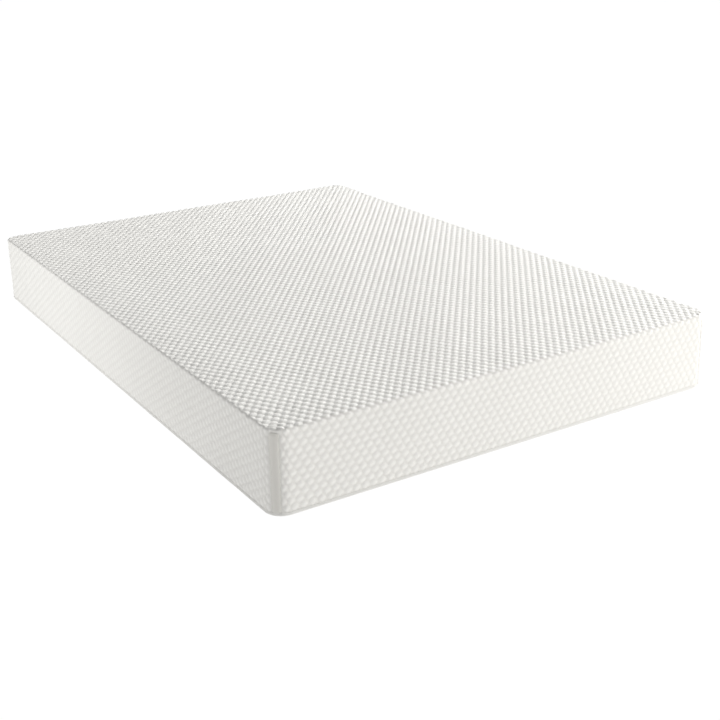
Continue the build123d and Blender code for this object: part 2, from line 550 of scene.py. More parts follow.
@dataclass(frozen=True)
class Skin:
    """Folds opened-out cloth over the top and down the sides of a rounded block."""

    half_x: float
    half_y: float
    top: float
    corner: float
    edge: float

    @property
    def slack(self) -> float:
        """How much shorter the cloth is to the middle of the edge than to a sharp one."""
        return self.edge * (1 - math.pi / 4)

    @property
    def span(self) -> tuple[float, float]:
        """Half width and half length of the cloth on top, up to the middle of the edges."""
        return self.half_x - self.slack, self.half_y - self.slack

    def depth_at(self, height: float) -> float:
        """Distance down the cloth from the middle of the edge to a height on the side."""
        return self.edge * math.pi / 4 + self.top - self.edge - height

    def corner_turn(self, x: np.ndarray, y: np.ndarray) -> tuple[np.ndarray, np.ndarray]:
        """Whether each spot is in a corner, and its turn there from the X side to the Y side."""
        span_x, span_y = self.span
        inner = self.corner - self.slack
        across = np.maximum(np.abs(x) - span_x + inner, 0.0)
        along = np.maximum(np.abs(y) - span_y + inner, 0.0)
        most = np.maximum(np.maximum(across, along), 1e-9)
        eighth = math.pi / 4
        turn = np.where(across >= along, eighth * along / most,
                        2 * eighth - eighth * across / most)
        return (across > 0) & (along > 0), turn

    def fold(self, x: np.ndarray, y: np.ndarray,
             depth: np.ndarray) -> tuple[np.ndarray, np.ndarray]:
        """Places spots of the cloth on the block.

        Args:
            x: position across, up to the middle of the edge.
            y: position along, up to the middle of the edge.
            depth: distance down the side from there, 0 on top.

        Returns:
            Their places and the outward directions there.
        """
        span_x, span_y = self.span
        to_x, to_y = span_x - np.abs(x), span_y - np.abs(y)
        past = depth - np.minimum(to_x, to_y)
        arc = self.edge * math.pi / 4
        lean = np.clip((past + arc) / self.edge, 0.0, math.pi / 2)
        out = self.edge * (np.sin(lean) - 1) + np.minimum(past + arc, 0.0)
        height = self.top - self.edge * (1 - np.cos(lean)) - np.maximum(past - arc, 0.0)
        cornered, turn = self.corner_turn(x, y)
        side_x = to_x < to_y
        facing_x = np.where(cornered, np.cos(turn), side_x)
        facing_y = np.where(cornered, np.sin(turn), ~side_x)
        reach_x = np.where(cornered, self.half_x - self.corner + (self.corner + out) * facing_x,
                           np.where(side_x, self.half_x + out, np.abs(x)))
        reach_y = np.where(cornered, self.half_y - self.corner + (self.corner + out) * facing_y,
                           np.where(side_x, np.abs(y), self.half_y + out))
        sign_x, sign_y = np.where(x < 0, -1.0, 1.0), np.where(y < 0, -1.0, 1.0)
        places = np.stack([sign_x * reach_x, sign_y * reach_y, height], 1)
        facing = np.stack([sign_x * facing_x * np.sin(lean), sign_y * facing_y * np.sin(lean),
                           np.cos(lean)], 1)
        return places, facing


@dataclass(frozen=True)
class Cells:
    """Staggered raised cells of the knit, laid out on the steps of the mesh."""

    step_x: float
    step_y: float
    across: int = 7
    along: int = 5
    shift: int = 4
    roundness: float = 2.3
    half_gap: float = 10.4 * MM
    spread: float = 0.10

    def heights(self, u: np.ndarray, v: np.ndarray) -> np.ndarray:
        """Height of the cells, from 0 in the valleys to about 1 on the crests.

        Args:
            u: steps across the cloth.
            v: steps along it.

        Returns:
            One height for each spot.
        """
        row = np.floor(v / self.along)
        best = np.full(len(u), 1e9)
        second = np.full(len(u), 1e9)
        centre = np.zeros((len(u), 2))
        next_centre = np.zeros((len(u), 2))
        number = np.zeros(len(u))
        for near_row in (-1, 0, 1):
            this_row = row + near_row
            offset = self.shift * this_row
            column = np.floor((u - offset) / self.across)
            for near_column in (0, 1):
                this_column = column + near_column
                x = (this_column * self.across + offset) * self.step_x
                y = (this_row + 0.5) * self.along * self.step_y
                gap = np.hypot(u * self.step_x - x, v * self.step_y - y)
                nearer = gap < best
                between = ~nearer & (gap < second)
                second = np.where(nearer, best, np.where(between, gap, second))
                spot = np.stack([x, y], 1)
                next_centre = np.where(nearer[:, None], centre,
                                       np.where(between[:, None], spot, next_centre))
                centre = np.where(nearer[:, None], spot, centre)
                best = np.where(nearer, gap, best)
                number = np.where(nearer, this_column * 131.7 + this_row * 57.3, number)
        apart = np.hypot(*(centre - next_centre).T)
        to_edge = (second ** 2 - best ** 2) / (2 * apart)
        share = np.clip(to_edge / self.half_gap, 0.0, 1.0)
        chance = np.modf(np.abs(np.sin(number) * 4375.85))[0]
        return (1 - (1 - share) ** self.roundness) * (1 - self.spread * chance)


@dataclass
class Mattress:
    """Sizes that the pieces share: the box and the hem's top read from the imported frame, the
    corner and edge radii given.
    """

    low: Vector = field(default_factory=lambda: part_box("cover_top")[0])
    high: Vector = field(default_factory=lambda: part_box("cover_top")[1])
    corner: float = 48 * MM
    edge: float = 6.5 * MM
    hem_top: float = field(default_factory=lambda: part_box("hem_band")[1].z)
    body: str = "mattress"

    @property
    def half_x(self) -> float:
        """Half the width."""
        return (self.high.x - self.low.x) / 2

    @property
    def half_y(self) -> float:
        """Half the length."""
        return (self.high.y - self.low.y) / 2

    def outline(self, inset: float = 0.0) -> Outline:
        """Plan outline, standing in by inset."""
        return Outline(self.half_x - inset, self.half_y - inset, self.corner - inset)


# ---------------------------------------------------------------- cover

@dataclass
class Settling:
    """Lets the cover's cloth swell a little over the foam, by cloth simulation."""

    skin: Skin
    bottom: float
    columns: int = 42
    rows: int = 60
    levels: int = 8
    frames: int = 20
    pressure: float = 4.0
    most: float = 1.0 * MM
    held_top: float = 0.16

    def __post_init__(self) -> None:
        """Starts with cloth that hasn't moved."""
        span_x, span_y = self.skin.span
        down = np.linspace(0, self.skin.depth_at(self.bottom), self.levels + 1)[1:]
        inner_x = np.linspace(-span_x, span_x, self.columns + 1)
        inner_y = np.linspace(-span_y, span_y, self.rows + 1)
        self.axis_u = np.concatenate([-span_x - down[::-1], inner_x, span_x + down])
        self.axis_v = np.concatenate([-span_y - down[::-1], inner_y, span_y + down])
        self.drift = np.zeros((len(self.axis_u), len(self.axis_v), 3))

    def run(self) -> None:
        """Simulates a coarse cover under pressure and keeps how far its points moved."""
        shape, opened = shell(self.skin, self.columns, self.rows,
                              np.linspace(0, self.skin.depth_at(self.bottom), self.levels + 1))
        places, _ = self.skin.fold(opened.x, opened.y, opened.depth)
        move(shape, places)
        piece = as_piece(shape, "settling")
        held = piece.vertex_groups.new(name="held")
        held.add([int(k) for k in np.nonzero(self._is_held(opened))[0]], 1.0, "REPLACE")
        cloth = piece.modifiers.new("cloth", "CLOTH")
        cloth.settings.quality = 5
        cloth.settings.mass = 0.3
        cloth.settings.tension_stiffness = 12.0
        cloth.settings.compression_stiffness = 12.0
        cloth.settings.bending_stiffness = 0.5
        cloth.settings.use_pressure = True
        cloth.settings.uniform_pressure_force = self.pressure
        cloth.settings.vertex_group_mass = "held"
        cloth.settings.effector_weights.gravity = 0.0
        cloth.point_cache.frame_end = self.frames
        scene = bpy.context.scene
        for number in range(1, self.frames + 1):
            scene.frame_set(number)
        done = piece.evaluated_get(bpy.context.evaluated_depsgraph_get())
        moved = np.zeros(len(places) * 3, np.float32)
        done.data.vertices.foreach_get("co", moved)
        change = moved.reshape(-1, 3) - places
        length = np.linalg.norm(change, axis=1, keepdims=True)
        change *= self.most / length.max()
        column = np.searchsorted(self.axis_u, opened.u - 1e-6)
        row = np.searchsorted(self.axis_v, opened.v - 1e-6)
        self.drift[column, row] = change
        LOG.info("settling: most %.1f mm", np.abs(change).max() / MM)
        scene.frame_set(1)
        mesh = piece.data
        bpy.data.objects.remove(piece)
        bpy.data.meshes.remove(mesh)

    def _is_held(self, opened: "Opened") -> np.ndarray:
        """Points that the foam, the corner seams or the hem hold still."""
        span_x, span_y = self.skin.span
        flat = np.minimum(span_x - np.abs(opened.x), span_y - np.abs(opened.y)) > self.held_top
        seam = (np.abs(opened.x) > span_x - 1e-6) & (np.abs(opened.y) > span_y - 1e-6)
        return flat | seam | (opened.depth > self.skin.depth_at(self.bottom) - 1e-6)

    def at(self, u: np.ndarray, v: np.ndarray) -> np.ndarray:
        """How far the cloth moved at spots of the opened-out cover."""
        column = np.interp(u, self.axis_u, np.arange(len(self.axis_u)))
        row = np.interp(v, self.axis_v, np.arange(len(self.axis_v)))
        left = np.minimum(column.astype(int), len(self.axis_u) - 2)
        near = np.minimum(row.astype(int), len(self.axis_v) - 2)
        share_u, share_v = (column - left)[:, None], (row - near)[:, None]
        low = self.drift[left, near] * (1 - share_u) + self.drift[left + 1, near] * share_u
        high = self.drift[left, near + 1] * (1 - share_u) + self.drift[left + 1, near + 1] * share_u
        return low * (1 - share_v) + high * share_v


@dataclass
class Opened:
    """Where each vertex of a shell lies on the opened-out cloth."""

    x: np.ndarray
    y: np.ndarray
    depth: np.ndarray
    u: np.ndarray
    v: np.ndarray
    step_u: np.ndarray
    step_v: np.ndarray


def shell(skin: Skin, columns: int, rows: int,
          depths: np.ndarray) -> tuple[bmesh.types.BMesh, Opened]:
    """Top grid and side grid joined into one open box, with its vertices on a sharp block.

    Args:
        skin: the block that the cloth will fold over.
        columns: steps across the top.
        rows: steps along it.
        depths: distances down the sides, from 0.

    Returns:
        The shape and where its vertices lie on the opened-out cloth.
    """
    span_x, span_y = skin.span
    shape = lattice(columns, rows)
    column, row = numbers(shape)
    zero = np.zeros(len(column))
    top = np.stack([column / columns * 2 - 1, row / rows * 2 - 1, zero], 1)
    move(shape, top * (span_x, span_y, 1))
    sides = lattice(2 * (columns + rows), len(depths) - 1)
    around, level = numbers(sides)
    knots = np.cumsum([0, columns, rows, columns, rows])
    side_x = np.interp(around, knots, [-span_x, span_x, span_x, -span_x, -span_x])
    side_y = np.interp(around, knots, [-span_y, -span_y, span_y, span_y, -span_y])
    move(sides, np.stack([side_x, side_y, -level], 1))
    spare = bpy.data.meshes.new("sides")
    sides.to_mesh(spare)
    sides.free()
    shape.from_mesh(spare)
    bpy.data.meshes.remove(spare)
    bmesh.ops.remove_doubles(shape, verts=shape.verts[:], dist=1e-5)
    spots = np.array([vertex.co[:] for vertex in shape.verts])
    x, y, level = spots[:, 0], spots[:, 1], np.rint(-spots[:, 2])
    depth = np.asarray(depths)[level.astype(int)]
    steps = depth / depths[1]
    on_x = (np.abs(x) > span_x - 1e-6) * np.sign(x)
    on_y = (np.abs(y) > span_y - 1e-6) * np.sign(y)
    step_x, step_y = 2 * span_x / columns, 2 * span_y / rows
    opened = Opened(x, y, depth, x + on_x * depth, y + on_y * depth,
                    np.rint(x / step_x + columns / 2) + on_x * steps,
                    np.rint(y / step_y + rows / 2) + on_y * steps)
    return shape, opened


@dataclass
class KnitCover:
    """The knit over the top and sides: one cloth with raised cells, sewn at the corners."""

    mattress: Mattress
    columns: int = 408
    rows: int = 575
    side_steps: int = 54
    relief: float = 3.2 * MM
    thickness: float = 6 * MM
    tuck: float = 2 * MM
    strip_half: float = 11.0 * MM
    strip_taper: float = 1.8 * MM
    strip_sink: float = 3.0 * MM
    hem_sink: float = 1.1 * MM
    hem_tuck: float = 0.9 * MM
    slot_sink: float = 5.9 * MM
    wave: float = 0.6 * MM

    def __post_init__(self) -> None:
        """Reads the zip's slot and the strips' top from the frame."""
        size = self.mattress
        self.skin = Skin(size.half_x, size.half_y, size.high.z, size.corner, size.edge)
        tape_low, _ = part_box("zip_tape_lower")
        _, tape_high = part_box("zip_tape_upper")
        stop_low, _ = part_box("zip_stop_open")
        self.slot_middle = (tape_low.z + tape_high.z) / 2
        self.slot_half_height = 7 * MM
        self.slot_half_length = -stop_low.x + 2 * MM
        self.strip_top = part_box("corner_strip_front_left")[1].z
        self.settling = Settling(self.skin, size.hem_top)

    def levels(self) -> np.ndarray:
        """Depths of the rows of the side grid, closer together round the zip's slot."""
        middle, half = self.slot_middle, self.slot_half_height
        even = np.linspace(0, self.skin.depth_at(middle + half), self.side_steps + 1)
        lip = 1 * MM
        hem = self.mattress.hem_top
        heights = [middle + half - lip, middle + 3 * MM, middle, middle - 3 * MM,
                   middle - half + lip, *np.linspace(middle - half, hem + 0.5 * MM, 4),
                   hem - self.tuck]
        return np.concatenate([even, [self.skin.depth_at(height) for height in heights]])

    def build(self) -> bpy.types.Object:
        """Builds the cover's closed shell with its cells, grooves and slot."""
        self.settling.run()
        shape, opened = shell(self.skin, self.columns, self.rows, self.levels())
        places, facing = self.skin.fold(opened.x, opened.y, opened.depth)
        cells = Cells(2 * self.skin.span[0] / self.columns, 2 * self.skin.span[1] / self.rows)
        raised = cells.heights(opened.step_u - self.columns / 2, opened.step_v)
        sink, fade = self._seams(opened, places)
        height = (raised * fade - 1) * self.relief * fade ** 0.5 - sink
        moved = places + facing * height[:, None] + self.settling.at(opened.u, opened.v)
        moved += facing * self._waves(opened)[:, None]
        move(shape, moved)
        # The relief mark also sets how much shade the cell knit paints into the valleys and beside
        # the seams.
        mark(shape, {"relief": raised * fade, "across": opened.step_u * cells.step_x,
                     "along": opened.step_v * cells.step_y})
        self._line(shape)
        piece = as_piece(shape, "knit_cover")
        map_cloth(piece.data, np.stack([marks_of(piece.data, "across"),
                                        marks_of(piece.data, "along")], 1))
        return piece

    def _seams(self, opened: Opened, places: np.ndarray) -> tuple[np.ndarray, np.ndarray]:
        """How far the cloth is pulled in, and how much of the cells is left, near the seams."""
        size = self.mattress
        cornered, turn = self.skin.corner_turn(opened.x, opened.y)
        aside = np.where(cornered & (opened.depth > 0),
                         np.abs(turn - math.pi / 4) * size.corner, 1.0)
        above = np.maximum(places[:, 2] - self.strip_top, 0.0)
        half = self.strip_half - self.strip_taper * (1 - places[:, 2] / self.strip_top)
        strip = np.hypot(np.maximum(aside - half, 0.0), above)
        hem = places[:, 2] - size.hem_top
        back = (opened.depth > 0) & (places[:, 1] > size.half_y - size.edge)
        past_x = np.maximum(np.abs(places[:, 0]) - self.slot_half_length, 0.0)
        past_z = np.maximum(np.abs(places[:, 2] - self.slot_middle) - self.slot_half_height, 0.0)
        slot = np.where(back, np.hypot(past_x, past_z), 1.0)
        inside = (back & (np.abs(places[:, 0]) < self.slot_half_length - 1 * MM)
                  & (np.abs(places[:, 2] - self.slot_middle) < self.slot_half_height - 0.5 * MM))
        sink = self.strip_sink * (1 - smooth_step(strip, 0.0, 5 * MM))
        sink = np.maximum(sink, self.hem_sink * (1 - smooth_step(hem, 0.0, 4 * MM)))
        sink += self.hem_tuck * (1 - smooth_step(hem, -2 * MM, 0.3 * MM))
        sink = np.maximum(sink, 1.2 * MM * (1 - smooth_step(slot, 0.0, 4 * MM)))
        sink = np.where(inside, self.slot_sink, sink)
        fade = smooth_step(strip, 0.0, 8 * MM) * smooth_step(hem, 0.0, 4 * MM)
        fade = fade * smooth_step(slot, 0.0, 8 * MM)
        return sink, fade

    def _waves(self, opened: Opened) -> np.ndarray:
        """Slow unevenness of the cloth, along its length and across it."""
        waves = np.sin(opened.u * 9.1 + 1.3) * np.sin(opened.v * 7.3 + 0.4)
        waves += 0.6 * np.sin(opened.u * 21.0 + opened.v * 4.0) * np.sin(opened.v * 17.0 + 2.1)
        low, high = (self.skin.depth_at(height * MM) for height in (110, 40))
        return waves * self.wave * (1 - smooth_step(opened.depth, low, high))

    def _line(self, shape: bmesh.types.BMesh) -> None:
        """Closes the cover with its inner wall and ceiling."""
        shape.edges.ensure_lookup_table()
        rim = [edge for edge in shape.edges if edge.is_boundary]
        for inward, height in ((True, None), (False, self.mattress.high.z - self.thickness)):
            made = bmesh.ops.extrude_edge_only(shape, edges=rim)["geom"]
            rim = [item for item in made if isinstance(item, bmesh.types.BMEdge)
                   and item.is_boundary]
            for vertex in (item for item in made if isinstance(item, bmesh.types.BMVert)):
                if inward:
                    vertex.co -= self._outward(vertex.co) * (self.thickness - self.hem_sink
                                                             - self.hem_tuck)
                else:
                    vertex.co.z = height
        bmesh.ops.contextual_create(shape, geom=rim)

    def _outward(self, place: Vector) -> Vector:
        """Level direction out of the mattress at a place near its side."""
        size = self.mattress
        x = max(abs(place.x) - size.half_x + size.corner, 0.0)
        y = max(abs(place.y) - size.half_y + size.corner, 0.0)
        return Vector((math.copysign(x, place.x), math.copysign(y, place.y), 0)).normalized()


# ---------------------------------------------------------------- plain knit parts

@dataclass
class CornerStrip:
    """Plain strip that joins the knit at one upright corner."""

    mattress: Mattress
    name: str
    columns: int = 14
    rows: int = 72
    half_width: float = 12.5 * MM
    recess: float = 1.1 * MM
    edge_drop: float = 1.7 * MM
    thickness: float = 0.9 * MM

    def build(self) -> bpy.types.Object:
        """Builds the strip, crowned across its width and tucked in at its top end."""
        size = self.mattress
        low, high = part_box(self.name)
        side_x = math.copysign(1.0, low.x)
        side_y = math.copysign(1.0, low.y)
        shape = lattice(self.columns, self.rows)
        column, row = numbers(shape)
        across = column / self.columns * 2 - 1
        up = row / self.rows
        turn = math.pi / 4 + across * self.half_width / size.corner
        height = (low.z - 1.5 * MM) + up * (high.z + 1 * MM - low.z + 1.5 * MM)
        end = smooth_step(high.z + 1 * MM - height, 0.0, 7 * MM)
        pucker = 0.18 * MM * np.sin(height * 900) * np.abs(across) ** 3
        inward = self.recess + self.edge_drop * np.abs(across) ** 2.5 + 1.6 * MM * (1 - end)
        reach = size.corner - inward + pucker
        centre_x, centre_y = size.half_x - size.corner, size.half_y - size.corner
        places = np.stack([side_x * (centre_x + reach * np.cos(turn)),
                           side_y * (centre_y + reach * np.sin(turn)), height], 1)
        move(shape, places)
        if side_x * side_y < 0:
            bmesh.ops.reverse_faces(shape, faces=shape.faces[:])
        piece = as_piece(shape, f"{self.name}_knit")
        map_cloth(piece.data, np.stack([across * self.half_width, height], 1))
        face_out(piece, Vector((side_x, side_y, 0)))
        thicken(piece, self.thickness)
        return piece


def face_out(piece: bpy.types.Object, outward: Vector) -> None:
    """Turns an open sheet's faces over if its first one looks against a direction."""
    if piece.data.polygons[0].normal.dot(outward) < 0:
        piece.data.flip_normals()


@dataclass
class HemBand:
    """Plain band round the bottom of the sides, turned in under the edge."""

    mattress: Mattress
    steps: int = 860
    thickness: float = 1.9 * MM
    bottom_round: float = 5 * MM
    turned_in: float = 14 * MM
    arc_steps: int = 5
    face_depth: float = 0.5 * MM

    def section(self) -> list[tuple[float, float]]:
        """Closed section of the band as (depth in from the side, height) points."""
        top, outer = self.mattress.hem_top, self.bottom_round
        inner = outer - self.thickness
        points = [(1.7 * MM, top - 0.3 * MM), (1.35 * MM, top + 0.2 * MM),
                  (1.0 * MM, top - 0.2 * MM), (0.85 * MM, top - 2.0 * MM),
                  (self.face_depth, top * 0.6)]
        for step in range(self.arc_steps + 1):
            turn = math.pi / 2 * step / self.arc_steps
            points.append((outer - outer * math.cos(turn), outer - outer * math.sin(turn)))
        points += [(self.turned_in * 0.65, 0.0), (self.turned_in, 0.2 * MM),
                   (self.turned_in, self.thickness - 0.2 * MM)]
        for step in range(self.arc_steps + 1):
            turn = math.pi / 2 * (1 - step / self.arc_steps)
            points.append((outer - inner * math.cos(turn), outer - inner * math.sin(turn)))
        points.append((self.thickness + self.face_depth, top * 0.6))
        return points

    def build(self) -> bpy.types.Object:
        """Sweeps the section round the mattress."""
        section = np.array(self.section() + self.section()[:1])
        shape = lattice(self.steps, len(section) - 1)
        column, row = numbers(shape)
        outline = self.mattress.outline()
        along = column / self.steps * outline.length()
        points, outward = outline.walk(along)
        depth, height = section[row.astype(int)].T
        turn = column / self.steps * 2 * math.pi
        uneven = 0.25 * MM * np.sin(turn * 33) * np.sin(turn * 14 + 1) * (depth < 1 * MM)
        plan = points - outward * (depth - uneven)[:, None]
        move(shape, np.column_stack([plan, height]))
        run = np.cumsum(np.append(0, np.hypot(*np.diff(section, axis=0).T)))
        layer = shape.loops.layers.uv.new("cloth")
        spots = {vertex: (s, t) for vertex, s, t in zip(shape.verts, along, run[row.astype(int)])}
        for face in shape.faces:
            for corner in face.loops:
                corner[layer].uv = spots[corner.vert]
        bmesh.ops.remove_doubles(shape, verts=shape.verts[:], dist=1e-6)
        piece = as_piece(shape, "hem_band_knit")
        outline.length()
        return piece


@dataclass
class Underside:
    """Cloth under the mattress, with rows of grip dots."""

    mattress: Mattress
    columns: int = 68
    rows: int = 98
    thickness: float = 1.0 * MM
    dot_pitch: float = 40 * MM
    dot_radius: float = 3 * MM
    dot_height: float = 0.6 * MM

    def __post_init__(self) -> None:
        """Takes the cloth's size from the frame."""
        self.low, self.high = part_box("base_panel")
        self.inset = self.mattress.half_x - self.high.x

    def build(self) -> bpy.types.Object:
        """Builds the cloth, slightly slack between the hem and the core."""
        skin = Skin(self.high.x, self.high.y, 0.0, self.mattress.corner - self.inset, 0.5 * MM)
        shape = lattice(self.columns, self.rows)
        column, row = numbers(shape)
        x = (column / self.columns * 2 - 1) * skin.span[0]
        y = (row / self.rows * 2 - 1) * skin.span[1]
        places, _ = skin.fold(x, y, np.zeros(len(x)))
        rim = smooth_step(np.minimum(skin.span[0] - np.abs(x), skin.span[1] - np.abs(y)), 0, 0.05)
        slack = np.sin(x * 23 + 1) * np.sin(y * 19) * 0.12 * MM * rim
        places[:, 2] = self.low.z + self.dot_height + slack
        move(shape, places)
        piece = as_piece(shape, "underside_cloth")
        map_cloth(piece.data, places[:, :2])
        face_out(piece, Vector((0, 0, -1)))
        thicken(piece, self.thickness)
        return piece

    def build_dots(self) -> bpy.types.Object:
        """Builds the grip dots in staggered rows."""
        margin = 2 * self.dot_radius + 20 * MM
        columns = int(2 * (self.high.x - margin) / self.dot_pitch)
        rows = int(2 * (self.high.y - margin) / self.dot_pitch)
        shape = bmesh.new()
        start = Matrix.Translation((0, 0, self.low.z + self.dot_height / 2))
        bmesh.ops.create_cone(shape, cap_ends=True, segments=8, radius1=self.dot_radius * 0.7,
                              radius2=self.dot_radius, depth=self.dot_height, matrix=start)
        repeat(shape, columns, (self.dot_pitch, 0, 0))
        repeat(shape, rows + 1, (0, self.dot_pitch, 0))
        places = spots_of(shape)
        odd = np.rint(places[:, 1] / self.dot_pitch) % 2
        places[:, 0] += (odd - columns + 0.5) / 2 * self.dot_pitch
        places[:, 1] -= rows / 2 * self.dot_pitch
        move(shape, places)
        return as_piece(shape, "grip_dots")


@dataclass
class Stitching:
    """Rows of small stitches."""

    length: float = 3.2 * MM
    width: float = 0.7 * MM
    pitch: float = 5.0 * MM

    def row(self, length: float) -> bmesh.types.BMesh:
        """A straight row of stitches, along X from 0 to length, with Z outwards."""
        shape = bmesh.new()
        size = Matrix.Diagonal((self.length / 2, self.width / 2, self.width / 2, 1))
        place = Matrix.Translation((self.pitch / 2, 0, 0)) @ size
        bmesh.ops.create_uvsphere(shape, u_segments=6, v_segments=4, radius=1.0,
                                  matrix=place @ Matrix.Rotation(math.pi / 2, 4, "Y"))
        repeat(shape, int(length / self.pitch), (self.pitch, 0, 0))
        return shape

    def hem(self, mattress: Mattress) -> bpy.types.Object:
        """The row round the hem band."""
        outline = mattress.outline(0.5 * MM)
        shape = self.row(outline.length())
        along, up, out = spots_of(shape).T
        points, outward = outline.walk(along)
        plan = points + outward * out[:, None]
        move(shape, np.column_stack([plan, up + mattress.hem_top - 3.2 * MM]))
        return as_piece(shape, "hem_stitches")

    def corners(self, mattress: Mattress, strip: "CornerStrip") -> bpy.types.Object:
        """The rows down both edges of the four corner strips."""
        low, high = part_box(strip.name)
        shape = self.row(high.z - low.z - 8 * MM)
        repeat(shape, 8, (10.0, 0, 0))
        along, aside, out = spots_of(shape).T
        number = np.rint(along // 10.0).astype(int)
        side_x, side_y = number % 2 * 2 - 1, number // 2 % 2 * 2 - 1
        edge = number // 4 * 2 - 1
        share = 0.74
        turn = math.pi / 4 + edge * share * strip.half_width / mattress.corner
        reach = mattress.corner - strip.recess - strip.edge_drop * share ** 2.5 + out
        turn = turn + aside / mattress.corner
        x = mattress.half_x - mattress.corner + reach * np.cos(turn)
        y = mattress.half_y - mattress.corner + reach * np.sin(turn)
        move(shape, np.column_stack([side_x * x, side_y * y, along % 10.0 + low.z + 2 * MM]))
        return as_piece(shape, "corner_stitches")


# ---------------------------------------------------------------- zip

